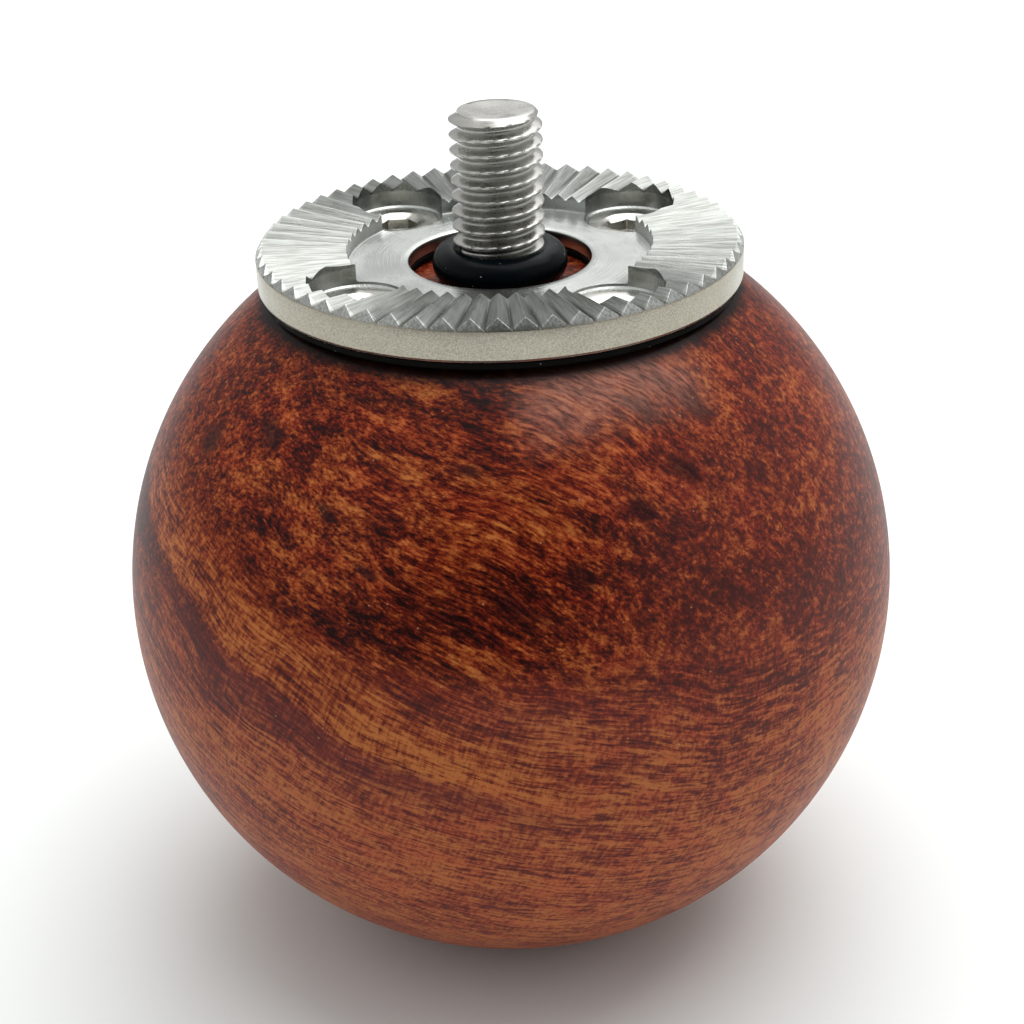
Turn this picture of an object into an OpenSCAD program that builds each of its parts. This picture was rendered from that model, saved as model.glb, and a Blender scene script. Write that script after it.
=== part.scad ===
// Wooden ball hand grip with a toothed mounting rosette and a captive clamping bolt.
// Origin: centre of the flat that the ball stands on. +Z runs up along the clamping bolt.
// The clamping bolt is drawn hanging on its retaining ring, which lies on the ball's top flat.

/* [Ball grip] */
// Diameter of the wooden ball
ball_d = 53; // [50:0.5:60]
// Diameter of the flat turned on the top of the ball
top_flat_d = 30; // [29:0.5:31]
// Diameter of the flat that the ball stands on
base_flat_d = 18; // [17:0.5:22]
// Diameter of the hole through the ball for the clamping bolt
bolt_hole_d = 6.2; // [6.1:0.1:6.6]
// Diameter of the counterbore for the bolt's head and washer
counterbore_d = 12.5; // [12.4:0.1:13]

/* [Rosette] */
// Outer diameter of the rosette
rosette_d = 31.8; // [31.6:0.1:32]
// Number of teeth round the rosette
tooth_count = 60; // [60]
// Height of the plain rim below the teeth
rim_h = 2; // [1.8:0.05:3]
// Height of the teeth above the plain rim
tooth_h = 0.7; // [0.6:0.05:0.75]
// Diameter across the outer ends of the tooth crests
tooth_end_d = 30.9; // [30.5:0.1:31.2]
// How far the tooth crests drop from their outer ends to the recess
crest_drop = 0.5; // [0.4:0.05:0.6]
// Angle between the two sides of a groove between teeth
groove_angle = 100; // [95:1:105]
// Slope of the bottom of a groove, up towards the rim
groove_rise = 2.5; // [2:0.1:3]
// Thickness of the rosette's floor inside the ring of teeth
floor_t = 1; // [0.95:0.05:1.5]
// Diameter of the recess inside the ring of teeth
recess_d = 20; // [19:0.5:21]
// Diameter of the rosette's centre bore
rosette_bore_d = 12; // [11:0.5:13]
// Thickness of the rubber gasket under the rosette
gasket_t = 0.5; // [0.4:0.1:1]
// Outer diameter of the gasket, which reaches past the ball's top flat
gasket_d = 31.4; // [30:0.1:31.6]

/* [Fixing screws] */
// Number of screws that hold the rosette
screw_count = 4; // [4]
// Diameter of the circle that the screws lie on
screw_circle_d = 22.8; // [22:0.2:23]
// Diameter of the clearance pocket cut for each screw
pocket_d = 6.2; // [6:0.1:6.6]
// Depth of a screw's pocket below the rosette's floor
pocket_depth = 0.3; // [0.2:0.05:0.35]
// Diameter of a countersunk screw head
screw_head_d = 5.6; // [5.4:0.1:5.8]
// Size of the hexagon socket in a screw head, across flats
screw_key = 2.5; // [2:0.5:2.5]
// Length of a fixing screw
screw_l = 8; // [8:1:10]
// Length of a brass insert in the wood
insert_l = 6.5; // [5:0.5:7]

/* [Clamping bolt] */
// Thread diameter of the clamping bolt
bolt_d = 6; // [6]
// Length of the bolt below its head
bolt_l = 50; // [50]
// Height of the bolt's tip above the teeth
bolt_stand = 8.1; // [6:0.1:9]
// How far the bolt lifts before its washer meets the ball
bolt_travel = 1; // [0.5:0.1:2]
// Diameter of the bolt's head
bolt_head_d = 10; // [10]
// Height of the bolt's head
bolt_head_h = 6; // [6]
// Size of the hexagon socket in the bolt's head, across flats
bolt_key = 5; // [5]
// Thickness of the washer on the bolt
washer_t = 1.6; // [1:0.1:2]
// Outer diameter of the washer on the bolt
washer_d = 12; // [11:0.5:12]
// Outer diameter of the rubber retaining ring on the bolt
ring_d = 8.9; // [8.5:0.1:9.5]
// Height of the rubber retaining ring
ring_h = 2.4; // [2:0.1:2.6]
// Inner diameter of the retaining ring, where it sits in the thread
ring_hole_d = 5.4; // [5.2:0.1:5.6]

/* [Hidden] */
$fn = 96;

// Margin that a cutting solid reaches past the face it cuts
past = 1;
// Edge breaks
edge = 0.2;
groove_lip = 0.05;
socket_edge = 0.4;

// Fixing screw details
screw_d = 3;
screw_hole_d = 3.2;
screw_socket_depth = 1;
screw_socket_mouth_d = 3.7;
head_rim = 0.1;
insert_d = 4.6;
insert_drop = 0.3;
insert_waist_d = 4.1;
insert_waist_h = 1.2;
pilot_spare = 1;
gasket_hole_d = 4.6;

// Clamping bolt details
bolt_socket_depth = 3;
bolt_tip_edge = 0.5;
washer_hole_d = 6.4;

// Heights along the bolt's axis
ball_z = sqrt(pow(ball_d / 2, 2) - pow(base_flat_d / 2, 2));
top_z = ball_z + sqrt(pow(ball_d / 2, 2) - pow(top_flat_d / 2, 2));
rosette_z = top_z + gasket_t;
rosette_h = rim_h + tooth_h;
crest_z = rosette_z + rosette_h;
screw_face_z = rosette_z + floor_t - pocket_depth;
tip_z = crest_z + bolt_stand;
head_seat_z = tip_z - bolt_l;
shoulder_z = head_seat_z + washer_t + bolt_travel;

// Angles round the bolt's axis: the screws sit on the diagonals, each over a tooth groove
tooth_step = 360 / tooth_count;
screw_step = 360 / screw_count;
first_screw = screw_step / 2;
groove_start = rim_h + groove_lip - rosette_d / 2 * tan(groove_rise);

// A hexagonal prism that stands on z = 0, sized across its flats
module hex_prism(flats, h) {
    cylinder(h = h, d = flats / cos(30), $fn = 6);
}

// Places its children at screw number i, counted from 1
module at_screw(i) {
    rotate([0, 0, first_screw + (i - 1) * screw_step])
        translate([screw_circle_d / 2, 0, 0])
            children();
}

// Places its children at every screw
module at_screws() {
    for (i = [1 : screw_count]) at_screw(i) children();
}

// A 90 degree screw head below z = 0, with its flat face up
module screw_cone(d_face, d_end) {
    cone_h = (d_face - d_end) / 2;
    translate([0, 0, -head_rim]) cylinder(h = head_rim, d = d_face);
    translate([0, 0, -head_rim - cone_h]) cylinder(h = cone_h, d1 = d_end, d2 = d_face);
}

// The ball, turned flat on top and below, with its bolt hole and the holes for the inserts
module ball_grip() {
    color("#7d3a24")
    difference() {
        intersection() {
            translate([0, 0, ball_z]) sphere(d = ball_d);
            cylinder(h = top_z, d = ball_d + past);
        }
        translate([0, 0, -past]) cylinder(h = top_z + 2 * past, d = bolt_hole_d);
        translate([0, 0, -past]) cylinder(h = shoulder_z + past, d = counterbore_d);
        cylinder(h = socket_edge, d1 = counterbore_d + 2 * socket_edge, d2 = counterbore_d);
        at_screws() insert_hole();
    }
}

// The blind hole for one insert, with spare depth for the screw's end
module insert_hole() {
    hole_depth = insert_drop + insert_l;
    translate([0, 0, top_z - hole_depth]) cylinder(h = hole_depth + past, d = insert_d);
    translate([0, 0, top_z - hole_depth - pilot_spare]) cylinder(h = pilot_spare + past, d = screw_d);
}

// The thin rubber gasket between the ball and the rosette
module rosette_gasket() {
    color("#161616")
    translate([0, 0, top_z])
    difference() {
        cylinder(h = gasket_t, d = gasket_d);
        translate([0, 0, -past]) cylinder(h = gasket_t + 2 * past, d = rosette_bore_d);
        at_screws() translate([0, 0, -past]) cylinder(h = gasket_t + 2 * past, d = gasket_hole_d);
    }
}

// The rosette before its teeth are cut: a turned ring with a recess, a centre bore and a steep
// outer cone that will end the teeth
module rosette_blank() {
    outer_r = rosette_d / 2;
    recess_r = recess_d / 2;
    bore_r = rosette_bore_d / 2;
    rotate_extrude()
        polygon([
            [bore_r, 0],
            [outer_r - edge, 0],
            [outer_r, edge],
            [outer_r, rim_h],
            [tooth_end_d / 2, rosette_h],
            [recess_r, rosette_h - crest_drop],
            [recess_r, floor_t + edge],
            [recess_r - edge, floor_t],
            [bore_r + edge, floor_t],
            [bore_r, floor_t - edge]
        ]);
}

// One groove between two teeth: a V that rises from the recess to the rim
module tooth_groove() {
    deep = tooth_h + 2 * groove_lip;
    half_w = deep * tan(groove_angle / 2);
    from_axis = recess_d / 2 - past;
    translate([0, 0, groove_start])
        rotate([0, -groove_rise, 0])
            translate([from_axis, 0, 0])
                rotate([90, 0, 90])
                    linear_extrude(height = rosette_d / 2 + past - from_axis)
                        polygon([[0, 0], [half_w, deep], [-half_w, deep]]);
}

// The pocket, countersink and clearance hole for one fixing screw
module screw_pocket() {
    face_z = floor_t - pocket_depth;
    translate([0, 0, face_z]) cylinder(h = rosette_h, d = pocket_d);
    translate([0, 0, face_z]) screw_cone(screw_head_d, screw_hole_d);
    translate([0, 0, -past]) cylinder(h = rosette_h, d = screw_hole_d);
}

// The aluminium rosette, with its ring of radial teeth
module rosette() {
    color("#c9cac6")
    translate([0, 0, rosette_z])
    difference() {
        rosette_blank();
        for (k = [0 : tooth_count - 1]) rotate([0, 0, (k + 0.5) * tooth_step]) tooth_groove();
        at_screws() screw_pocket();
    }
}

// One countersunk socket screw, head up
module rosette_screw(i) {
    head_r = screw_head_d / 2;
    screw_r = screw_d / 2;
    color("#a9aaa8")
    at_screw(i)
    translate([0, 0, screw_face_z])
    difference() {
        rotate_extrude()
            polygon([
                [0, 0],
                [head_r, 0],
                [head_r, -head_rim],
                [screw_r, screw_r - head_r - head_rim],
                [screw_r, edge - screw_l],
                [screw_r - edge, -screw_l],
                [0, -screw_l]
            ]);
        translate([0, 0, -screw_socket_depth]) hex_prism(screw_key, screw_socket_depth + past);
        translate([0, 0, -edge])
            cylinder(h = 2 * edge, d1 = screw_key, d2 = 2 * screw_socket_mouth_d - screw_key);
    }
}

// One threaded brass insert, pressed into the wood under a fixing screw
module screw_insert(i) {
    outer_r = insert_d / 2;
    waist_r = insert_waist_d / 2;
    waist_low = (insert_l - insert_waist_h) / 2;
    waist_high = waist_low + insert_waist_h;
    color("#c49a4a")
    at_screw(i)
    translate([0, 0, top_z - insert_drop - insert_l])
    rotate_extrude()
        polygon([
            [screw_d / 2, 0],
            [outer_r - edge, 0],
            [outer_r, edge],
            [outer_r, waist_low],
            [waist_r, waist_low],
            [waist_r, waist_high],
            [outer_r, waist_high],
            [outer_r, insert_l],
            [screw_d / 2, insert_l]
        ]);
}

// The clamping bolt: a socket head below and the thread's outer cylinder above.
// Between the wood and the teeth it is drawn thinner, because the ring sits in the thread there.
module clamp_bolt() {
    head_z = head_seat_z - bolt_head_h;
    head_r = bolt_head_d / 2;
    bolt_r = bolt_d / 2;
    neck_r = ring_hole_d / 2;
    socket_mouth_d = bolt_key / cos(30) + edge;
    color("#b4b5b3")
    difference() {
        rotate_extrude()
            polygon([
                [0, head_z],
                [head_r - socket_edge, head_z],
                [head_r, head_z + socket_edge],
                [head_r, head_seat_z],
                [bolt_r, head_seat_z],
                [bolt_r, top_z],
                [neck_r, top_z],
                [neck_r, crest_z],
                [bolt_r, crest_z],
                [bolt_r, tip_z - bolt_tip_edge],
                [bolt_r - bolt_tip_edge, tip_z],
                [0, tip_z]
            ]);
        translate([0, 0, head_z - past]) hex_prism(bolt_key, bolt_socket_depth + past);
        translate([0, 0, head_z])
            cylinder(h = socket_edge, d1 = socket_mouth_d, d2 = socket_mouth_d - 2 * socket_edge);
    }
}

// The plain washer that rides on the bolt's head
module bolt_washer() {
    outer_r = washer_d / 2;
    hole_r = washer_hole_d / 2;
    color("#bdbdbb")
    translate([0, 0, head_seat_z])
    rotate_extrude()
        polygon([
            [hole_r, 0],
            [outer_r, 0],
            [outer_r, washer_t - edge],
            [outer_r - edge, washer_t],
            [hole_r, washer_t]
        ]);
}

// The rubber ring that keeps the bolt in the ball, flattened on its inside by the thread
module retaining_ring() {
    section_r = ring_h / 2;
    color("#14181b")
    translate([0, 0, top_z])
    rotate_extrude()
        intersection() {
            translate([ring_d / 2 - section_r, section_r]) circle(r = section_r);
            translate([ring_hole_d / 2, 0]) square([ring_d, ring_h]);
        }
}

ball_grip();
rosette_gasket();
rosette();
rosette_screw(1);  // rosette_screw_1
rosette_screw(2);  // rosette_screw_2
rosette_screw(3);  // rosette_screw_3
rosette_screw(4);  // rosette_screw_4
screw_insert(1);  // screw_insert_1
screw_insert(2);  // screw_insert_2
screw_insert(3);  // screw_insert_3
screw_insert(4);  // screw_insert_4
clamp_bolt();
bolt_washer();
retaining_ring();
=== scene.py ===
import math

import bpy
import numpy as np
from mathutils import Matrix, Vector


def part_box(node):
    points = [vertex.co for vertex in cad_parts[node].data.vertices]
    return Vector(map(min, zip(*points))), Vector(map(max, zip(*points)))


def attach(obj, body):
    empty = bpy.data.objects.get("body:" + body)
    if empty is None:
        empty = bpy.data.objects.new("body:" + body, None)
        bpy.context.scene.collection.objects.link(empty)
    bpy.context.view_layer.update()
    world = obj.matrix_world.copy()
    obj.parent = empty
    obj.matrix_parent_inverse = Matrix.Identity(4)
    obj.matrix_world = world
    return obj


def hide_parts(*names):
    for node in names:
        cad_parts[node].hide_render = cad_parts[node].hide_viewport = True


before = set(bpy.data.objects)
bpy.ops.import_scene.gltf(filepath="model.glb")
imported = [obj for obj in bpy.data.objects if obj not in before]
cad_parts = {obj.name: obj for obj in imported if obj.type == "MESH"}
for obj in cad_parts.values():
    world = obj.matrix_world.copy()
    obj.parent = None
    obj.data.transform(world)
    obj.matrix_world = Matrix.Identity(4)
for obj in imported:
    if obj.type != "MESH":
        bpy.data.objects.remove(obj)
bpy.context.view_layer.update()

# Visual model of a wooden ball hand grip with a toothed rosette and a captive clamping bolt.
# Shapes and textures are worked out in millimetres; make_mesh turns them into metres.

MM = 0.001

# Sizes that aren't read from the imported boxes, in millimetres
BASE_FLAT_R = 9.0
BOLT_HOLE_R = 3.1
COUNTERBORE_R = 6.25
COUNTERBORE_TOP = 10.671
MOUTH_EDGE = 0.4
INSERT_HOLE_R = 2.3
INSERT_HOLE_DEPTH = 6.8
PILOT_R = 1.5
PILOT_DEPTH = 7.8
BORE_R = 6.0
RECESS_R = 10.0
FLOOR_T = 1.0
POCKET_R = 3.1
POCKET_DEPTH = 0.3
SCREW_HEAD_R = 2.8
SCREW_R = 1.5
SCREW_PITCH = 0.5
SCREW_TIP_R = 1.2
SCREW_HOLE_R = 1.6
TOOTH_COUNT = 60
TOOTH_H = 0.7
TOOTH_END_R = 15.45
CREST_DROP = 0.5
GROOVE_LIP = 0.05
GROOVE_ANGLE = 100.0
GROOVE_RISE = 2.5
ROOT_BLUNTNESS = 0.0014
ROOT_LIFT = 0.0006
CREST_SOFTNESS = 0.05
BOLT_R = 3.0
BOLT_PITCH = 1.0
BOLT_TIP_R = 2.55
BOLT_THREAD_LENGTH = 24.0
HEAD_H = 6.0
KNURL_DEPTH = 0.11
BOLT_KEY = 5.0
BOLT_SOCKET_DEPTH = 3.0
SCREW_KEY = 2.5
SCREW_SOCKET_DEPTH = 1.0
GASKET_HOLE_R = 2.3


def span(node):
    """(lowest corner, highest corner) of a CAD node, in millimetres."""
    low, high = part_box(node)
    return Vector(low) / MM, Vector(high) / MM


ball_low, ball_high = span("ball_grip")
BALL_R = (ball_high.x - ball_low.x) / 2
BALL_Z = ball_low.z + math.sqrt(BALL_R ** 2 - BASE_FLAT_R ** 2)
TOP_Z = ball_high.z
TOP_FLAT_R = math.sqrt(BALL_R ** 2 - (TOP_Z - BALL_Z) ** 2)
rosette_low, rosette_high = span("rosette")
ROSETTE_R = (rosette_high.x - rosette_low.x) / 2
ROSETTE_Z = rosette_low.z
CREST_Z = rosette_high.z
FLOOR_Z = ROSETTE_Z + FLOOR_T
bolt_low, bolt_high = span("clamp_bolt")
HEAD_R = (bolt_high.x - bolt_low.x) / 2
SCREWS = ["rosette_screw_%d" % i for i in (1, 2, 3, 4)]


# ---------------------------------------------------------------- shapes

def turn(columns):
    """Evenly spaced angles round a full turn."""
    return np.arange(columns) * (2 * math.pi / columns)


def make_mesh(name, points, faces):
    """A mesh object from points in millimetres, with its faces turned outwards."""
    mesh = bpy.data.meshes.new(name)
    mesh.from_pydata([tuple(p) for p in np.asarray(points) * MM], [], faces)
    mesh.validate()
    piece = bpy.data.objects.new(name, mesh)
    bpy.context.scene.collection.objects.link(piece)
    bpy.context.view_layer.objects.active = piece
    bpy.ops.object.select_all(action="DESELECT")
    piece.select_set(True)
    bpy.ops.object.mode_set(mode="EDIT")
    bpy.ops.mesh.select_all(action="SELECT")
    bpy.ops.mesh.normals_make_consistent(inside=False)
    bpy.ops.object.mode_set(mode="OBJECT")
    return piece


def ring_mesh(name, rows, angles, closed, centre=(0.0, 0.0)):
    """Joins rings round an upright axis into one skin.

    Each row is (radius, height), and either may be one number or one per angle. A closed skin joins
    its last row to its first, and an open one is filled in at both ends.
    """
    count = len(angles)
    points = []
    for radius, height in rows:
        radius = np.broadcast_to(radius, count)
        height = np.broadcast_to(height, count)
        x = centre[0] + radius * np.cos(angles)
        y = centre[1] + radius * np.sin(angles)
        points.append(np.column_stack([x, y, height]))
    faces = []
    last = len(rows) if closed else len(rows) - 1
    for row in range(last):
        here = row * count
        there = (row + 1) % len(rows) * count
        for i in range(count):
            j = (i + 1) % count
            faces.append((here + i, here + j, there + j, there + i))
    if not closed:
        for row in (0, len(rows) - 1):
            middle = (len(rows) * count) + (0 if row == 0 else 1)
            points.append(np.array([[centre[0], centre[1], points[row][:, 2].mean()]]))
            for i in range(count):
                faces.append((row * count + i, row * count + (i + 1) % count, middle))
    return make_mesh(name, np.vstack(points), faces)


def arc(centre_r, centre_z, radius, start, end, steps):
    """Profile points (radius, height) along an arc, with its angles in degrees."""
    sweep = np.radians(np.linspace(start, end, steps + 1))
    return [(centre_r + radius * math.cos(a), centre_z + radius * math.sin(a)) for a in sweep]


def bake_shape(piece):
    """Makes a piece's modifiers part of its mesh."""
    evaluated = piece.evaluated_get(bpy.context.evaluated_depsgraph_get())
    mesh = bpy.data.meshes.new_from_object(evaluated)
    piece.modifiers.clear()
    piece.data = mesh


def cut(piece, cutter):
    """Takes the cutter's volume out of the piece, and deletes the cutter."""
    change = piece.modifiers.new("cut", "BOOLEAN")
    change.operation = "DIFFERENCE"
    change.solver = "EXACT"
    change.object = cutter
    bake_shape(piece)
    bpy.data.objects.remove(cutter)


def shade(piece, sharp_angle):
    """Smooth shading that stays sharp along edges that turn by more than sharp_angle degrees."""
    piece.data.shade_smooth()
    piece.data.set_sharp_from_angle(angle=math.radians(sharp_angle))


def screw_centre(node):
    """The middle of a fixing screw, seen from above, in millimetres."""
    low, high = span(node)
    return (low.x + high.x) / 2, (low.y + high.y) / 2


def hexagon(flats, angles, twist=0.0):
    """The radius of a hexagon at each angle. It measures flats across its flats."""
    folded = np.mod(angles - twist + math.pi / 6, math.pi / 3) - math.pi / 6
    return flats / 2 / np.cos(folded)


def thread_depth(phase, pitch, rounding):
    """How deep a 60 degree thread is at a phase in turns, with rounded roots and flat crests."""
    from_crest = np.abs(np.mod(phase + 0.5, 1.0) - 0.5) * pitch
    flank = (from_crest - pitch / 16) * math.sqrt(3)
    apex = (pitch / 2 - pitch / 16) * math.sqrt(3)
    from_root = pitch / 2 - from_crest
    root = apex - 2 * rounding + np.sqrt(np.maximum(rounding ** 2 - from_root ** 2, 0.0))
    in_root = from_root < rounding * math.cos(math.pi / 6)
    return np.maximum(np.where(in_root, root, flank), 0.0)


def threaded_rows(radius, pitch, top, bottom, step, angles, tip_r, rounding, fade):
    """Rows of a right-hand thread from top down to bottom.

    It starts with a 45 degree chamfer of radius tip_r at the top, and gets shallower over the last
    fade millimetres.
    """
    rows = []
    for height in np.arange(top, bottom, -step):
        phase = height / pitch - angles / (2 * math.pi)
        depth = thread_depth(phase, pitch, rounding)
        depth = depth * min(1.0, (height - bottom) / fade)
        rows.append((np.minimum(radius - depth, tip_r + top - height), height))
    return rows


def build_ball():
    """The wooden ball, with its flats, bolt hole, counterbore and insert holes."""
    low_angle = math.degrees(math.asin((ball_low.z - BALL_Z) / BALL_R))
    high_angle = math.degrees(math.asin((TOP_Z - BALL_Z) / BALL_R))
    # Top flat, round side, bottom flat, counterbore and bolt hole
    profile = [(BOLT_HOLE_R, TOP_Z - 0.2), (BOLT_HOLE_R + 0.2, TOP_Z)]
    profile += [(r, TOP_Z) for r in (5.0, 8.0, 12.0, TOP_FLAT_R - 0.4)]
    profile += arc(0, BALL_Z, BALL_R, high_angle - 0.5, low_angle + 0.5, 150)
    profile += [(BASE_FLAT_R - 0.4, 0.0), (COUNTERBORE_R + MOUTH_EDGE, 0.0)]
    profile += [(COUNTERBORE_R, MOUTH_EDGE), (COUNTERBORE_R, 4.0), (COUNTERBORE_R, COUNTERBORE_TOP)]
    profile += [(BOLT_HOLE_R, COUNTERBORE_TOP), (BOLT_HOLE_R, 25.0)]
    ball = ring_mesh("wood_ball", profile, turn(320), closed=True)
    for node in SCREWS:
        hole = [(INSERT_HOLE_R, TOP_Z + 1), (INSERT_HOLE_R, TOP_Z - INSERT_HOLE_DEPTH)]
        hole += [(PILOT_R, TOP_Z - INSERT_HOLE_DEPTH), (PILOT_R, TOP_Z - PILOT_DEPTH)]
        cut(ball, ring_mesh("hole", hole, turn(48), closed=False, centre=screw_centre(node)))
    shade(ball, 28)
    return ball


def groove_angles():
    """Columns round the rosette, close together at the crests and roots.

    Gives their angles, and how far each one is from the middle of its groove.
    """
    step = 2 * math.pi / TOOTH_COUNT
    # Where the columns lie between a crest, at 0, and the root of the groove beside it, at 0.5
    within = np.array([0.0, 0.012, 0.03, 0.055, 0.16, 0.3, 0.43, 0.465, 0.485, 0.5])
    within = np.concatenate([within, 1 - within[1:-1][::-1]])
    angles = np.concatenate([(k + within) * step for k in range(TOOTH_COUNT)])
    return angles, np.tile((within - 0.5) * step, TOOTH_COUNT)


def groove_side(off):
    """A groove's side is root + slope * radius high, at an angle off the middle of the groove."""
    rise = math.radians(GROOVE_RISE)
    root = CREST_Z - TOOTH_H + GROOVE_LIP - ROSETTE_R * math.tan(rise)
    across = np.sqrt(np.sin(off) ** 2 + ROOT_BLUNTNESS ** 2) - ROOT_LIFT
    return root, np.cos(off) * math.tan(rise) + across / math.tan(math.radians(GROOVE_ANGLE / 2))


def tooth_height(radius, off):
    """Height of the toothed face inside the tooth ends, with softened crests."""
    root, slope = groove_side(off)
    side = root + slope * radius
    top = CREST_Z - CREST_DROP * (TOOTH_END_R - radius) / (TOOTH_END_R - RECESS_R)
    return (side + top - np.sqrt((side - top) ** 2 + CREST_SOFTNESS ** 2)) / 2


def build_rosette():
    """The aluminium rosette: recess, bore, radial teeth and a pocket for each screw."""
    angles, off = groove_angles()
    root, slope = groove_side(off)
    cone = TOOTH_H / (ROSETTE_R - TOOTH_END_R)
    end_r = (CREST_Z + cone * TOOTH_END_R - root) / (cone + slope)
    end_r = np.clip(end_r, TOOTH_END_R, ROSETTE_R - 0.04)
    end_z = np.minimum(CREST_Z - cone * (end_r - TOOTH_END_R), tooth_height(end_r, off))
    inside = np.minimum(end_r - 0.05, TOOTH_END_R - 0.07)
    # Bore, and floor and wall of the recess
    rows = [(BORE_R + 0.12, ROSETTE_Z), (BORE_R, ROSETTE_Z + 0.12), (BORE_R, FLOOR_Z - 0.15)]
    rows += [(BORE_R + 0.04, FLOOR_Z - 0.04), (BORE_R + 0.15, FLOOR_Z)]
    rows += [(r, FLOOR_Z) for r in (6.6, 7.6, 8.8, 9.85)]
    rows += [(RECESS_R - 0.04, FLOOR_Z + 0.04), (RECESS_R, FLOOR_Z + 0.15), (RECESS_R, FLOOR_Z + 0.6)]
    # Toothed face, out to where the tooth ends slope down
    rows += [(RECESS_R, tooth_height(RECESS_R, off) - 0.03)]
    rows += [(r, tooth_height(r, off)) for r in (RECESS_R + 0.04, 10.6, 11.8, 13.2, 14.6)]
    rows += [(inside, tooth_height(inside, off)), (end_r - 0.03, tooth_height(end_r - 0.03, off) - 0.004)]
    rows += [(end_r, end_z - 0.02), (end_r + 0.02, end_z - 0.02 - 0.02 * cone)]
    # Plain rim and underside
    rows += [(ROSETTE_R - 0.01, CREST_Z - TOOTH_H), (ROSETTE_R, CREST_Z - TOOTH_H - 0.03)]
    rows += [(ROSETTE_R, ROSETTE_Z + 1.0), (ROSETTE_R, ROSETTE_Z + 0.2)]
    rows += [(ROSETTE_R - 0.06, ROSETTE_Z + 0.05), (ROSETTE_R - 0.2, ROSETTE_Z)]
    rows += [(r, ROSETTE_Z) for r in (14.0, 10.0)]
    rosette = ring_mesh("rosette_ring", rows, angles, closed=True)
    for node in SCREWS:
        face_z = FLOOR_Z - POCKET_DEPTH
        cone_h = SCREW_HEAD_R - SCREW_HOLE_R
        pocket = [(POCKET_R, CREST_Z + 1), (POCKET_R, face_z + 0.12), (POCKET_R - 0.12, face_z)]
        pocket += [(SCREW_HEAD_R, face_z), (SCREW_HEAD_R, face_z - 0.1)]
        pocket += [(SCREW_HOLE_R, face_z - 0.1 - cone_h), (SCREW_HOLE_R, ROSETTE_Z - 1)]
        cut(rosette, ring_mesh("pocket", pocket, turn(120), closed=False, centre=screw_centre(node)))
    shade(rosette, 20)
    return rosette


def build_gasket():
    """The black rubber gasket between the wood and the rosette."""
    low, high = span("rosette_gasket")
    outer = (high.x - low.x) / 2
    edge = 0.1
    rows = [(BORE_R, low.z + edge), (BORE_R, high.z - edge), (BORE_R + edge, high.z)]
    rows += [(10.0, high.z), (outer - edge, high.z), (outer, high.z - edge)]
    rows += [(outer, low.z + edge), (outer - edge, low.z), (10.0, low.z), (BORE_R + edge, low.z)]
    gasket = ring_mesh("gasket_ring", rows, turn(240), closed=True)
    for node in SCREWS:
        hole = [(GASKET_HOLE_R, high.z + 1), (GASKET_HOLE_R, low.z - 1)]
        cut(gasket, ring_mesh("hole", hole, turn(48), closed=False, centre=screw_centre(node)))
    shade(gasket, 30)
    return gasket


def build_screw(node, twist):
    """One countersunk socket screw, with its M3 thread."""
    low, high = span(node)
    face = high.z
    angles = turn(96)
    socket = hexagon(SCREW_KEY, angles, math.radians(twist))
    mouth = np.maximum(socket, 1.5)
    floor = face - SCREW_SOCKET_DEPTH
    edge = 0.05
    # Hexagon socket with a drilled point, its round mouth, and the flat head
    rows = [(0.5, floor - 0.25), (socket - 0.02, floor), (socket, floor + 0.04)]
    rows += [(socket, face - 0.32), (mouth, face - 0.2)]
    rows += [(1.62, face - 0.14), (1.85, face - 0.02), (1.92, face), (2.3, face)]
    rows += [(SCREW_HEAD_R - edge, face), (SCREW_HEAD_R, face - edge), (SCREW_HEAD_R, face - 0.1)]
    neck = face - 0.1 - (SCREW_HEAD_R - SCREW_R)
    rows += [(SCREW_R, neck)]
    # The thread is made upside down, with the screw's tip as its top, and then turned over
    thread = threaded_rows(
        SCREW_R, SCREW_PITCH, -low.z, -(neck - 0.2), SCREW_PITCH / 10, angles,
        SCREW_TIP_R, rounding=0.08, fade=SCREW_PITCH,
    )
    rows += [(radius, -height) for radius, height in thread[::-1]]
    screw = ring_mesh(node + "_body", rows, angles, closed=False, centre=screw_centre(node))
    shade(screw, 32)
    return screw


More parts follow.
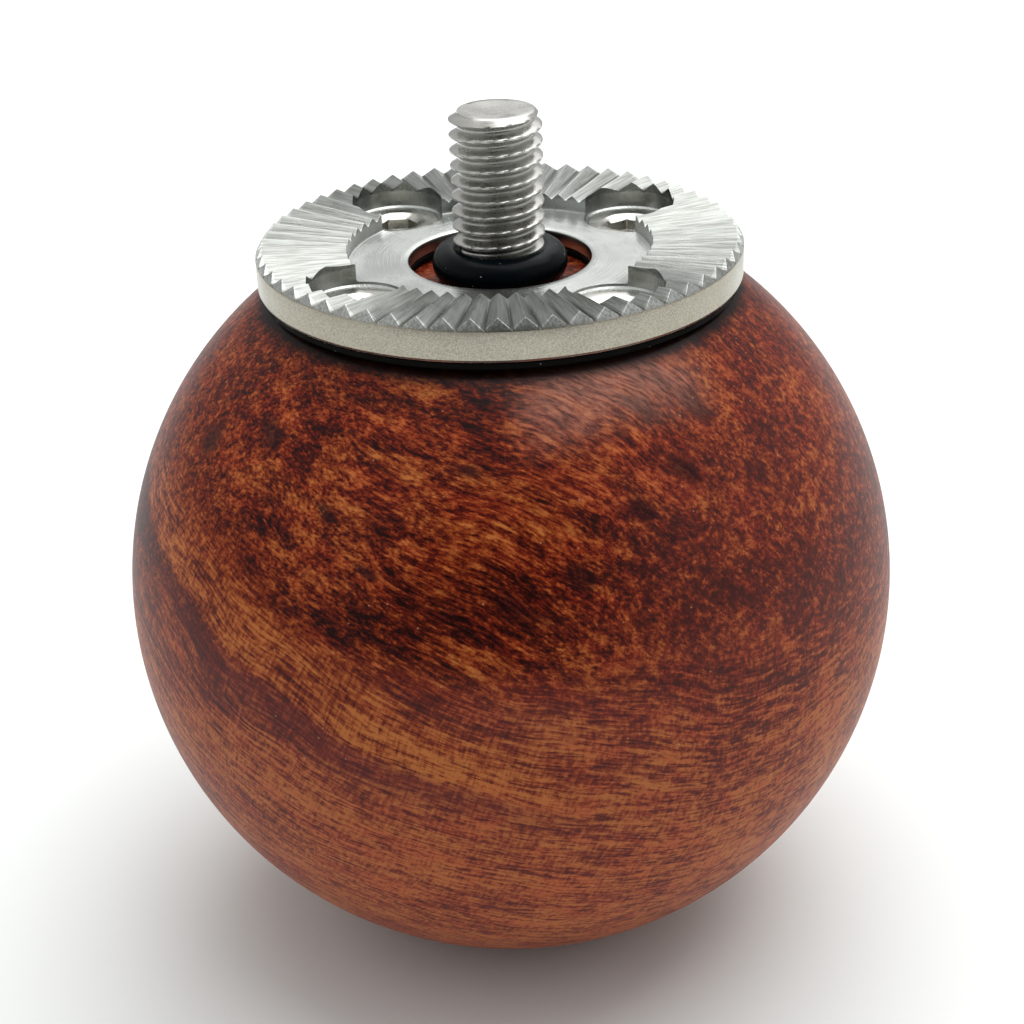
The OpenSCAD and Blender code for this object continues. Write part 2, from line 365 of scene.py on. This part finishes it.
def build_bolt():
    """The clamping bolt: M6 thread above, plain shank, and a knurled socket head below."""
    columns = 144
    angles = turn(columns)
    tip = bolt_high.z
    thread_end = tip - BOLT_THREAD_LENGTH
    rows = [(0.6, tip - 0.07), (1.3, tip - 0.05), (2.0, tip - 0.02), (BOLT_TIP_R - 0.12, tip - 0.01)]
    rows += threaded_rows(
        BOLT_R, BOLT_PITCH, tip - 0.04, thread_end, BOLT_PITCH / 20, angles,
        BOLT_TIP_R, rounding=0.17, fade=1.5,
    )
    # Plain shank, and the knurled head down to its chamfered lower face
    seat = bolt_low.z + HEAD_H
    rows += [(BOLT_R - 0.03, thread_end - 0.1), (BOLT_R - 0.03, seat + 0.25), (BOLT_R + 0.08, seat)]
    knurl = KNURL_DEPTH * (1 - np.abs(np.mod(np.arange(columns), 3) - 1))
    top_edge = 0.25
    rows += [(HEAD_R - top_edge, seat), (HEAD_R - 0.12, seat - 0.12), (HEAD_R - knurl, seat - 0.35)]
    low = bolt_low.z
    rows += [(HEAD_R - knurl, low + 1.0), (HEAD_R - 0.06, low + 0.75), (HEAD_R - 0.05, low + 0.45)]
    rows += [(HEAD_R - 0.15, low + 0.15), (HEAD_R - 0.45, low)]
    # Hexagon socket, with a drilled point
    socket = hexagon(BOLT_KEY, angles)
    rows += [(3.6, low), (3.05, low), (np.maximum(socket, 2.85), low + 0.2), (socket, low + 0.38)]
    rows += [(socket, low + BOLT_SOCKET_DEPTH), (1.2, low + BOLT_SOCKET_DEPTH + 0.6)]
    bolt = ring_mesh("clamp_bolt_body", rows, angles, closed=False)
    shade(bolt, 38)
    return bolt


def build_retaining_ring():
    """The rubber ring on the bolt, which reaches a little way into the thread."""
    low, high = span("retaining_ring")
    section = (high.z - low.z) / 2
    centre_r = (high.x - low.x) / 2 - section
    inner = 2.6
    start = math.degrees(math.acos((inner - centre_r) / section))
    rows = arc(centre_r, low.z + section, section, -start, start, 40)
    ring = ring_mesh("rubber_ring", rows, turn(160), closed=True)
    shade(ring, 40)
    return ring


def build_washer():
    """The plain washer on the bolt's head, with rolled edges."""
    low, high = span("bolt_washer")
    outer = (high.x - low.x) / 2
    hole = 3.2
    roll = 0.3
    rows = arc(outer - roll, high.z - roll, roll, 90, 0, 6)
    rows += [(outer, low.z + 0.08), (outer - 0.08, low.z), (4.6, low.z)]
    rows += [(hole + 0.08, low.z), (hole, low.z + 0.08)]
    rows += arc(hole + roll, high.z - roll, roll, 180, 90, 6) + [(4.6, high.z)]
    washer = ring_mesh("washer_disc", rows, turn(120), closed=True)
    shade(washer, 30)
    return washer


# ---------------------------------------------------------------- materials

def srgb(red, green, blue):
    """A colour in 0 to 255 screen values, as the linear colour that a shader takes."""
    def linear(value):
        value = value / 255
        return value / 12.92 if value <= 0.04045 else ((value + 0.055) / 1.055) ** 2.4
    return (linear(red), linear(green), linear(blue), 1.0)


class Nodes:
    """A node tree, with a short call for each kind of node that the finishes and the world use."""

    def __init__(self, tree):
        self.tree = tree

    def add(self, kind, **settings):
        node = self.tree.nodes.new("ShaderNode" + kind)
        for name, value in settings.items():
            setattr(node, name, value)
        return node

    def feed(self, socket, value):
        """Links a node's output to the socket, or sets the socket to a plain value."""
        if isinstance(value, bpy.types.NodeSocket):
            self.tree.links.new(value, socket)
        else:
            socket.default_value = value

    def math(self, operation, first, second=0.0):
        node = self.add("Math", operation=operation)
        self.feed(node.inputs[0], first)
        self.feed(node.inputs[1], second)
        return node.outputs[0]

    def vector(self, operation, first, second=(0.0, 0.0, 0.0)):
        node = self.add("VectorMath", operation=operation)
        self.feed(node.inputs[0], first)
        self.feed(node.inputs[1], second)
        scalar = operation in ("DOT_PRODUCT", "LENGTH", "DISTANCE")
        return node.outputs["Value" if scalar else "Vector"]

    def times(self, first, second):
        return self.math("MULTIPLY", first, second)

    def dot(self, vector, direction):
        return self.vector("DOT_PRODUCT", vector, tuple(direction))

    def place(self, centre=(0.0, 0.0, 0.0)):
        """The point on the object, in millimetres from centre."""
        metres = self.add("TexCoord").outputs["Object"]
        return self.vector("SUBTRACT", self.vector("MULTIPLY", metres, (1 / MM,) * 3), centre)

    def split(self, vector):
        node = self.add("SeparateXYZ")
        self.feed(node.inputs[0], vector)
        return node.outputs[0], node.outputs[1], node.outputs[2]

    def join(self, x, y, z):
        node = self.add("CombineXYZ")
        for socket, value in zip(node.inputs, (x, y, z)):
            self.feed(socket, value)
        return node.outputs[0]

    def noise(self, vector, stretch, detail=2.0, rough=0.5, colour=False):
        """Noise from 0 to 1. stretch is how many lumps there are per unit along each axis."""
        node = self.add("TexNoise", noise_dimensions="3D")
        self.feed(node.inputs["Vector"], self.vector("MULTIPLY", vector, stretch))
        node.inputs["Scale"].default_value = 1.0
        node.inputs["Detail"].default_value = detail
        node.inputs["Roughness"].default_value = rough
        return node.outputs[1 if colour else 0]

    def cells(self, vector, stretch):
        """Distance to the nearest of a cloud of random points, in cells."""
        node = self.add("TexVoronoi", feature="F1")
        self.feed(node.inputs["Vector"], self.vector("MULTIPLY", vector, stretch))
        node.inputs["Scale"].default_value = 1.0
        return node.outputs["Distance"]

    def step(self, value, low, high, bottom=0.0, top=1.0):
        """Goes smoothly from bottom to top as value goes from low to high."""
        node = self.add("MapRange", interpolation_type="SMOOTHSTEP")
        for socket, number in zip(node.inputs, (value, low, high, bottom, top)):
            self.feed(socket, number)
        return node.outputs[0]

    def mix(self, factor, first, second, blend="MIX"):
        node = self.add("Mix", data_type="RGBA", blend_type=blend)
        self.feed(node.inputs[0], factor)
        self.feed(node.inputs[6], first)
        self.feed(node.inputs[7], second)
        return node.outputs[2]

    def ramp(self, value, stops):
        """A colour for each value, from (position, colour) stops."""
        node = self.add("ValToRGB")
        points = node.color_ramp.elements
        while len(points) < len(stops):
            points.new(0.5)
        for point, (position, colour) in zip(points, stops):
            point.position = position
            point.color = colour
        self.feed(node.inputs[0], value)
        return node.outputs[0]

    def bump(self, height, depth):
        """Surface relief from a height of 0 to 1, depth millimetres deep."""
        node = self.add("Bump")
        node.inputs["Strength"].default_value = 1.0
        node.inputs["Distance"].default_value = depth * MM
        self.feed(node.inputs["Height"], height)
        return node.outputs[0]


class Finish(Nodes):
    """A material. Its shader's fixed values are given by name, with _ for a space."""

    def __init__(self, name, **fixed):
        self.material = bpy.data.materials.new(name)
        self.material.use_nodes = True
        super().__init__(self.material.node_tree)
        self.shader = self.tree.nodes["Principled BSDF"]
        for socket, value in fixed.items():
            self.shader.inputs[socket.replace("_", " ")].default_value = value

    def paint(self, colour, roughness, normal):
        """Connects the shader, and returns the finished material."""
        self.feed(self.shader.inputs["Base Color"], colour)
        self.feed(self.shader.inputs["Roughness"], roughness)
        self.feed(self.shader.inputs["Normal"], normal)
        return self.material


def unit(azimuth, elevation=0.0):
    """A direction, from its angle round Z and its angle above the horizon, in degrees."""
    a, e = math.radians(azimuth), math.radians(elevation)
    return Vector((math.cos(a) * math.cos(e), math.sin(a) * math.cos(e), math.sin(e)))


# The wood's directions: along its fibres, the two across them, and through its growth bands
FIBRE = unit(-12.0, -24.0)
ACROSS = unit(78.0)
UPWARD = unit(-12.0, 66.0)
BAND_AXIS = unit(-32.0, 69.0)

# How strongly each layer of figure colours the wood: its amount on plain wood, and what is added to
# that in the streaky part, the lined part, the golden band and the right-hand part
FIGURE = {
    "streak": (0.4, 1.3, -0.6, 0.0, 0.0),
    "mottle": (1.3, -0.8, -0.8, 0.0, 0.6),
    "cloud": (0.5, 0.1, 0.0, 0.0, 0.3),
    "lines": (0.0, 0.0, 1.7, -0.6, 0.0),
    "thin": (0.9, 0.5, -0.9, 0.0, 0.0),
    "fine": (0.0, 0.0, 1.1, 0.0, 0.0),
    "ticks": (0.0, 0.0, 0.7, 0.0, 0.0),
    "speckle": (1.2, -0.5, -0.3, 0.0, 0.0),
}

# The wood's colours from dark to light: (tone, colour)
WOOD_COLOURS = [
    (0.08, srgb(26, 6, 5)),
    (0.26, srgb(60, 15, 9)),
    (0.43, srgb(99, 30, 12)),
    (0.60, srgb(138, 61, 26)),
    (0.88, srgb(180, 106, 52)),
]

# Where dark figure lies on the ball: (angle round Z, angle above the middle, length, width)
DARK_FIGURE = [
    (-88.0, 41.5, 2.3, 0.9),
    (-84.5, 36.0, 2.6, 0.7),
    (-82.0, 23.5, 3.2, 0.9),
    (-113.0, 34.5, 2.2, 0.7),
    (-104.0, 27.0, 2.4, 0.6),
    (-74.0, 27.5, 3.0, 0.9),
    (-47.0, 45.5, 2.4, 1.3),
    (-53.0, 37.0, 2.2, 1.2),
    (-62.0, 33.0, 1.8, 1.1),
    (-58.0, 46.5, 2.0, 0.9),
    (-129.0, 41.0, 2.2, 1.4),
    (-143.0, 36.0, 2.0, 1.5),
]


class Wood(Finish):
    """The oiled red-brown hardwood, worked out from the ball's middle."""

    def __init__(self):
        super().__init__("oiled_hardwood", Specular_IOR_Level=0.05, Coat_Weight=0.12, Coat_Roughness=0.2)
        self.point = self.place((0.0, 0.0, BALL_Z))
        self.facing = self.vector("NORMALIZE", self.point)
        self.smooth = self.moved(self.point, lumps=0.07, detail=2.0, rough=0.5, distance=3.4)
        self.swayed = self.moved(self.smooth, lumps=0.5, detail=3.0, rough=0.6, distance=0.6)
        self.height = self.split(self.swayed)[2]
        along = self.dot(self.smooth, FIBRE)
        across = self.dot(self.smooth, ACROSS)
        self.grain = self.join(along, across, self.dot(self.smooth, UPWARD))
        self.layered = self.join(along, across, self.dot(self.smooth, BAND_AXIS))
        self.find_zones()
        self.make_layers()

    def moved(self, start, lumps, detail, rough, distance):
        """The start, moved to and fro by noise. lumps is how many there are in a millimetre."""
        noise = self.noise(self.point, (lumps,) * 3, detail, rough, True)
        offset = self.vector("SUBTRACT", noise, (0.5,) * 3)
        return self.vector("ADD", start, self.vector("MULTIPLY", offset, (distance,) * 3))

    def between(self, value, rise_start, rise_end, fall_start, fall_end):
        """Goes up from 0 to 1, and down to 0 again, as value goes through the four numbers."""
        rise = self.step(value, rise_start, rise_end)
        return self.times(rise, self.step(value, fall_start, fall_end, 1.0, 0.0))

    def side(self, azimuth, elevation, start, full):
        """1 where the ball faces a direction, and 0 well away from it. start and full are cosines."""
        return self.step(self.dot(self.facing, unit(azimuth, elevation)), start, full)

    def find_zones(self):
        """Where on the ball each kind of figure shows, from 0 to 1."""
        band = self.dot(self.swayed, BAND_AXIS)
        self.streaky = self.side(-93.0, 36.0, 0.78, 0.93)
        self.right = self.side(-20.0, 0.0, 0.4, 0.9)
        left = self.side(-128.0, 0.0, 0.45, 0.9)
        self.low = self.step(self.height, 3.6, 8.0, 1.0, 0.0)
        self.gold = self.times(self.between(band, 4.0, 5.0, 6.5, 10.5), left)
        self.purple = self.times(self.between(band, 2.0, 3.4, 4.0, 4.6), left)
        above_gold = self.between(self.height, 6.5, 8.5, 9.5, 12.0)
        self.swirl = self.times(above_gold, self.math("SUBTRACT", 1.0, self.gold))
        self.lined = self.math("MAXIMUM", self.low, self.gold)

    def make_layers(self):
        """The layers of figure that FIGURE names."""
        self.layers = {
            "streak": self.noise(self.grain, (0.11, 1.05, 1.05), 6.0, 0.7),
            "mottle": self.noise(self.swayed, (1.0, 1.6, 1.6), 5.0, 0.7),
            "cloud": self.noise(self.swayed, (0.16, 0.22, 0.22), 3.0, 0.6),
            "lines": self.noise(self.layered, (0.12, 0.4, 2.8), 5.0, 0.72),
            "thin": self.noise(self.grain, (0.9, 5.0, 5.0), 3.0, 0.65),
            "fine": self.noise(self.layered, (0.8, 0.9, 6.0), 2.0, 0.6),
            "ticks": self.noise(self.layered, (5.0, 5.0, 0.7), 2.0, 0.5),
            "speckle": self.noise(self.point, (3.5, 3.5, 3.5), 3.0, 0.75),
        }

    def zoned(self, plain, *changes):
        """An amount that changes in the streaky, lined, golden and right-hand parts, in that order."""
        amount = plain
        for zone, change in zip((self.streaky, self.lined, self.gold, self.right), changes):
            if change:
                amount = self.math("ADD", amount, self.times(zone, change))
        return amount

    def part(self, layer, amount):
        """A layer's light and dark, as something to add to a tone."""
        return self.times(self.math("SUBTRACT", self.layers[layer], 0.5), amount)

    def tone(self):
        """How light the wood is, from 0 to 1."""
        tone = self.zoned(0.43, 0.03, 0.02, 0.14)
        for layer, amounts in FIGURE.items():
            tone = self.math("ADD", tone, self.part(layer, self.zoned(*amounts)))
        tone = self.math("SUBTRACT", tone, self.times(self.purple, 0.06))
        tone = self.math("SUBTRACT", tone, self.times(self.swirl, 0.1))
        return self.math("ADD", tone, self.step(self.height, -2.0, 5.0, 0.2, 0.0))

    def tinted(self, colour):
        """The colour with crimson streaks, pinkish low and right-hand parts, and the purple band."""
        crimson = self.step(self.noise(self.grain, (0.1, 0.7, 0.7), 3.0, 0.6), 0.45, 0.62)
        crimson = self.times(crimson, self.math("SUBTRACT", 0.7, self.times(self.gold, 0.6)))
        colour = self.mix(crimson, colour, (1.0, 0.68, 0.82, 1.0), "MULTIPLY")
        pinkish = self.math("MAXIMUM", self.low, self.right)
        pinkish = self.times(pinkish, self.math("SUBTRACT", 0.9, self.times(self.gold, 0.7)))
        colour = self.mix(self.times(pinkish, 0.25), colour, srgb(136, 68, 52))
        colour = self.mix(pinkish, colour, srgb(0, 10, 18), "ADD")
        return self.mix(self.times(self.purple, 0.35), colour, srgb(86, 32, 32))

    def spot(self, azimuth, elevation, length, width):
        """1 in the middle of a spot that is stretched along the fibres, and 0 or less outside it."""
        offset = self.vector("SUBTRACT", self.swayed, tuple(unit(azimuth, elevation) * BALL_R))
        along = self.dot(offset, FIBRE / length)
        across = self.dot(offset, ACROSS / width)
        upward = self.dot(offset, UPWARD / width)
        return self.math("SUBTRACT", 1.0, self.vector("LENGTH", self.join(along, across, upward)))

    def with_dark_figure(self, colour):
        """The colour with dark spots, whose edges are ragged."""
        dark = self.step(self.layers["cloud"], 0.36, 0.44, 0.12, 0.0)
        for place in DARK_FIGURE:
            dark = self.math("MAXIMUM", dark, self.spot(*place))
        ragged = self.math("ADD", dark, self.part("thin", 0.9))
        ragged = self.math("ADD", ragged, self.part("mottle", self.zoned(1.6, -1.3, -0.8)))
        ragged = self.math("SUBTRACT", ragged, self.part("streak", self.times(self.streaky, 1.6)))
        return self.mix(self.step(ragged, 0.2, 0.7, 0.0, 0.8), colour, srgb(30, 9, 14))

    def pores(self):
        """Small dark pores along the fibres."""
        pore = self.step(self.noise(self.grain, (0.8, 5.5, 5.5), 1.0, 0.5), 0.63, 0.70)
        return self.times(pore, self.math("SUBTRACT", 0.4, self.times(self.lined, 0.35)))

    def with_small_marks(self, colour, pore):
        """The colour with pores, dark dashes and pale dust.

        The shine on the shoulder is painted as a paler zone. It is not a reflection.
        """
        colour = self.mix(pore, colour, srgb(36, 10, 8))
        dash = self.times(self.step(self.layers["fine"], 0.4, 0.32), self.times(self.lined, 0.6))
        colour = self.mix(dash, colour, srgb(70, 26, 24))
        shoulder = self.times(self.side(-61.0, 45.0, 0.958, 0.992), self.step(self.height, 17.4, 20.6))
        shine = self.times(shoulder, self.step(self.layers["thin"], 0.3, 0.7, 0.15, 0.75))
        colour = self.mix(shine, colour, srgb(176, 122, 104))
        dust = self.step(self.cells(self.point, (0.8, 0.8, 0.8)), 0.035, 0.06, 0.4, 0.0)
        return self.mix(dust, colour, srgb(196, 160, 130))

    def with_painted_shade(self, colour):
        """The colour with painted shade: almost black on the ring of wood under the rosette's edge."""
        from_axis = self.vector("LENGTH", self.vector("MULTIPLY", self.point, (1.0, 1.0, 0.0)))
        upper = self.step(self.split(self.point)[2], 10.0, 12.0)
        # Painted shade: the ring of wood under the rosette's edge is mixed towards near black
        painted_shade_under_rosette = self.times(self.between(from_axis, 12.0, 14.0, 15.6, 16.4), upper)
        return self.mix(self.times(painted_shade_under_rosette, 0.95), colour, srgb(8, 3, 3))


def wood_finish():
    """Hardwood with growth bands, streaks, mottling, pores, cross ticks and dark figure."""
    wood = Wood()
    pore = wood.pores()
    colour = wood.tinted(wood.ramp(wood.tone(), WOOD_COLOURS))
    colour = wood.with_small_marks(wood.with_dark_figure(colour), pore)
    thin = wood.layers["thin"]
    roughness = wood.math("ADD", 0.34, wood.times(thin, 0.2))
    relief = wood.math("SUBTRACT", wood.times(thin, 0.5), pore)
    # The wood's colour gets painted shade under the rosette's edge
    return wood.paint(wood.with_painted_shade(colour), roughness, wood.bump(relief, 0.02))


def polar(finish, point):
    """(angle in radians, distance from the axis, height) of a point."""
    x, y, z = finish.split(point)
    radius = finish.vector("LENGTH", finish.join(x, y, 0.0))
    return finish.math("ARCTAN2", y, x), radius, z


def aluminium_finish():
    """Machined aluminium: milled teeth with painted shade along their roots, turned marks in the recess,
    a grainy rim.
    """
    metal = Finish("machined_aluminium", Metallic=1.0)
    point = metal.place()
    angle, radius, height = polar(metal, point)
    # The angle is stretched so that the milling marks are narrow and run outwards
    fine_angle = metal.times(angle, 110.0)
    milled = metal.noise(metal.join(fine_angle, radius, height), (1.0, 0.15, 6.0), 4.0, 0.65)
    turned = metal.noise(metal.join(angle, radius, height), (1.5, 9.0, 1.0), 3.0, 0.6)
    speckle = metal.noise(point, (11.0, 11.0, 11.0), 3.0, 0.7)
    past_recess = metal.step(radius, RECESS_R - 0.1, RECESS_R + 0.1)
    on_teeth = metal.times(past_recess, metal.step(height, CREST_Z - 0.9, CREST_Z - 0.7))
    on_rim = metal.step(radius, ROSETTE_R - 0.06, ROSETTE_R - 0.02)
    marks = metal.mix(on_teeth, turned, milled)
    marks = metal.mix(on_rim, marks, (0.5, 0.5, 0.5, 1.0))
    cloud = metal.noise(point, (0.35, 0.35, 0.35), 3.0, 0.6)
    colour = metal.mix(cloud, srgb(176, 179, 175), srgb(198, 201, 197))
    # Painted shade: a thin dark line along the root of each groove between the teeth
    in_step = metal.math("FRACT", metal.times(angle, TOOTH_COUNT / (2 * math.pi)))
    from_root = metal.math("ABSOLUTE", metal.math("SUBTRACT", in_step, 0.5))
    painted_root_shade = metal.times(metal.step(from_root, 0.03, 0.13, 0.85, 0.0), on_teeth)
    scratches = metal.times(metal.step(milled, 0.35, 0.62, 0.6, 0.0), on_teeth)
    on_end = metal.step(radius, TOOTH_END_R - 0.02, TOOTH_END_R + 0.02)
    darker = metal.times(on_teeth, metal.math("SUBTRACT", 0.55, metal.times(on_end, 0.5)))
    colour = metal.mix(darker, colour, srgb(128, 131, 127))
    colour = metal.mix(scratches, colour, srgb(112, 112, 106))
    colour = metal.mix(painted_root_shade, colour, srgb(70, 69, 62))
    grains = metal.step(speckle, 0.35, 0.65)
    colour = metal.mix(on_rim, colour, metal.mix(grains, srgb(146, 139, 125), srgb(180, 174, 160)))
    roughness = metal.step(cloud, 0.3, 0.7, 0.18, 0.3)
    roughness = metal.math("ADD", roughness, metal.times(on_teeth, 0.07))
    return metal.paint(colour, roughness, metal.bump(marks, 0.02))


def steel_finish(name, tint, mark_depth):
    """Bright stainless steel with fine marks and patches of grime."""
    steel = Finish(name, Metallic=1.0)
    point = steel.place()
    angle, radius, height = polar(steel, point)
    marks = steel.noise(steel.join(angle, radius, height), (1.2, 8.0, 9.0), 3.0, 0.6)
    cloud = steel.noise(point, (0.7, 0.7, 0.7), 3.0, 0.6)
    colour = steel.mix(cloud, srgb(*[0.9 * t for t in tint]), srgb(*tint))
    grime = steel.step(steel.noise(point, (2.2, 2.2, 2.2), 3.0, 0.7), 0.62, 0.74, 0.0, 0.35)
    colour = steel.mix(grime, colour, srgb(70, 64, 56))
    roughness = steel.step(cloud, 0.3, 0.7, 0.2, 0.34)
    return steel.paint(colour, roughness, steel.bump(marks, mark_depth))


def brass_finish():
    """Turned brass, a little dull."""
    brass = Finish("turned_brass", Metallic=1.0)
    point = brass.place()
    cloud = brass.noise(point, (1.0, 1.0, 1.0), 3.0, 0.6)
    marks = brass.noise(point, (1.0, 1.0, 12.0), 3.0, 0.6)
    colour = brass.mix(cloud, srgb(176, 134, 70), srgb(214, 178, 108))
    return brass.paint(colour, brass.step(cloud, 0.3, 0.7, 0.25, 0.4), brass.bump(marks, 0.02))


def rubber_finish(name, dark, light, low, high):
    """Black rubber with a soft sheen and a few specks of pale dust."""
    rubber = Finish(name, Specular_IOR_Level=0.06)
    point = rubber.place()
    grain = rubber.noise(point, (7.0, 7.0, 7.0), 3.0, 0.6)
    cloud = rubber.noise(point, (0.8, 0.8, 0.8), 2.0, 0.5)
    colour = rubber.mix(cloud, srgb(*dark), srgb(*light))
    speck = rubber.step(rubber.cells(point, (1.5, 1.5, 1.5)), 0.05, 0.09, 0.8, 0.0)
    colour = rubber.mix(speck, colour, srgb(170, 168, 162))
    return rubber.paint(colour, rubber.step(cloud, 0.3, 0.7, low, high), rubber.bump(grain, 0.006))


def finish_piece(piece, node, body, material):
    """Gives a piece its material, and lets it stand for a CAD node."""
    piece.data.materials.clear()
    piece.data.materials.append(material)
    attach(piece, body)
    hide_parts(node)


aluminium = aluminium_finish()
bolt_steel = steel_finish("bolt_stainless", (188, 187, 182), 0.006)
screw_steel = steel_finish("screw_stainless", (196, 195, 188), 0.005)
washer_steel = steel_finish("washer_stainless", (190, 190, 186), 0.008)
gasket_rubber = rubber_finish("gasket_black", (6, 6, 5), (14, 13, 12), 0.6, 0.75)
ring_rubber = rubber_finish("nitrile_black", (3, 8, 10), (7, 14, 17), 0.2, 0.3)
brass = brass_finish()

finish_piece(build_ball(), "ball_grip", "grip", wood_finish())
finish_piece(build_rosette(), "rosette", "grip", aluminium)
finish_piece(build_gasket(), "rosette_gasket", "grip", gasket_rubber)
for node, twist in zip(SCREWS, (10.0, 40.0, 0.0, 25.0)):
    finish_piece(build_screw(node, twist), node, "grip", screw_steel)
finish_piece(build_bolt(), "clamp_bolt", "bolt", bolt_steel)
finish_piece(build_retaining_ring(), "retaining_ring", "bolt", ring_rubber)
finish_piece(build_washer(), "bolt_washer", "washer", washer_steel)
for i in (1, 2, 3, 4):
    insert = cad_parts["screw_insert_%d" % i]
    for place in insert.material_slots:
        place.material = brass


# ---------------------------------------------------------------- camera, floor and light

# Where the camera is and how it looks, in degrees, with its distance from the ball's middle and its
# lens in millimetres
CAMERA_TURN = 7.0
CAMERA_HEIGHT_ANGLE = 28.9
CAMERA_DISTANCE = 133.4
CAMERA_LENS = 65.7
LOOK_DOWN = 27.2
LOOK_ASIDE = 0.1
CAMERA_ROLL = -2.0


def build_camera():
    """The camera, which looks down at the ball from in front."""
    data = bpy.data.cameras.new("camera")
    data.lens = CAMERA_LENS
    data.sensor_width = 36.0
    data.clip_start = 0.01
    data.clip_end = 20.0
    camera = bpy.data.objects.new("camera", data)
    bpy.context.scene.collection.objects.link(camera)
    out = unit(CAMERA_TURN - 90.0, CAMERA_HEIGHT_ANGLE) * CAMERA_DISTANCE
    turned = Matrix.Rotation(math.radians(CAMERA_TURN - LOOK_ASIDE), 4, "Z")
    tipped = Matrix.Rotation(math.radians(90.0 - LOOK_DOWN), 4, "X")
    rolled = Matrix.Rotation(math.radians(CAMERA_ROLL), 4, "Z")
    place = Matrix.Translation((out + Vector((0.0, 0.0, BALL_Z))) * MM)
    camera.matrix_world = place @ turned @ tipped @ rolled
    bpy.context.scene.camera = camera


def build_floor():
    """A wide pale floor. Its half width is in metres."""
    mesh = bpy.data.meshes.new("floor")
    half = 3.0
    corners = [(-half, -half, 0), (half, -half, 0), (half, half, 0), (-half, half, 0)]
    mesh.from_pydata(corners, [], [(0, 1, 2, 3)])
    floor = bpy.data.objects.new("floor", mesh)
    bpy.context.scene.collection.objects.link(floor)
    paper = Finish("white_paper", Specular_IOR_Level=0.2)
    grain = paper.noise(paper.place(), (0.5, 0.5, 0.5), 2.0, 0.5)
    mesh.materials.append(paper.paint(srgb(234, 238, 237), 0.8, paper.bump(grain, 0.02)))


def add_light(name, direction, distance, size, power):
    """A square soft light that points at the ball, with its distance and size in metres.

    Its direction is the (azimuth, elevation) that it comes from.
    """
    data = bpy.data.lights.new(name, "AREA")
    data.shape = "SQUARE"
    data.size = size
    data.energy = power
    light = bpy.data.objects.new(name, data)
    bpy.context.scene.collection.objects.link(light)
    out = unit(*direction)
    light.location = out * distance + Vector((0.0, 0.0, BALL_Z * MM))
    light.rotation_euler = out.to_track_quat("Z", "Y").to_euler()


def build_light():
    """Surroundings that are dim in front and brighter overhead, with two big soft lights."""
    world = bpy.data.worlds.new("surroundings")
    bpy.context.scene.world = world
    world.use_nodes = True
    sky = Nodes(world.node_tree)
    direction = sky.add("TexCoord").outputs["Generated"]
    height = sky.split(direction)[2]
    level = sky.step(height, -0.05, 0.5, 0.45, 0.8)
    front = sky.step(sky.dot(direction, unit(-83.0, 14.0)), 0.62, 0.93)
    dim = (0.10, 0.10, 0.10, 1.0)
    level = sky.mix(front, level, dim)
    sky.feed(world.node_tree.nodes["Background"].inputs["Color"], level)
    add_light("overhead", direction=(60.0, 72.0), distance=0.8, size=0.95, power=6.6)
    add_light("back", direction=(80.0, 40.0), distance=0.9, size=0.6, power=1.0)


build_camera()
build_floor()
build_light()
bpy.context.scene.view_settings.view_transform = "Standard"
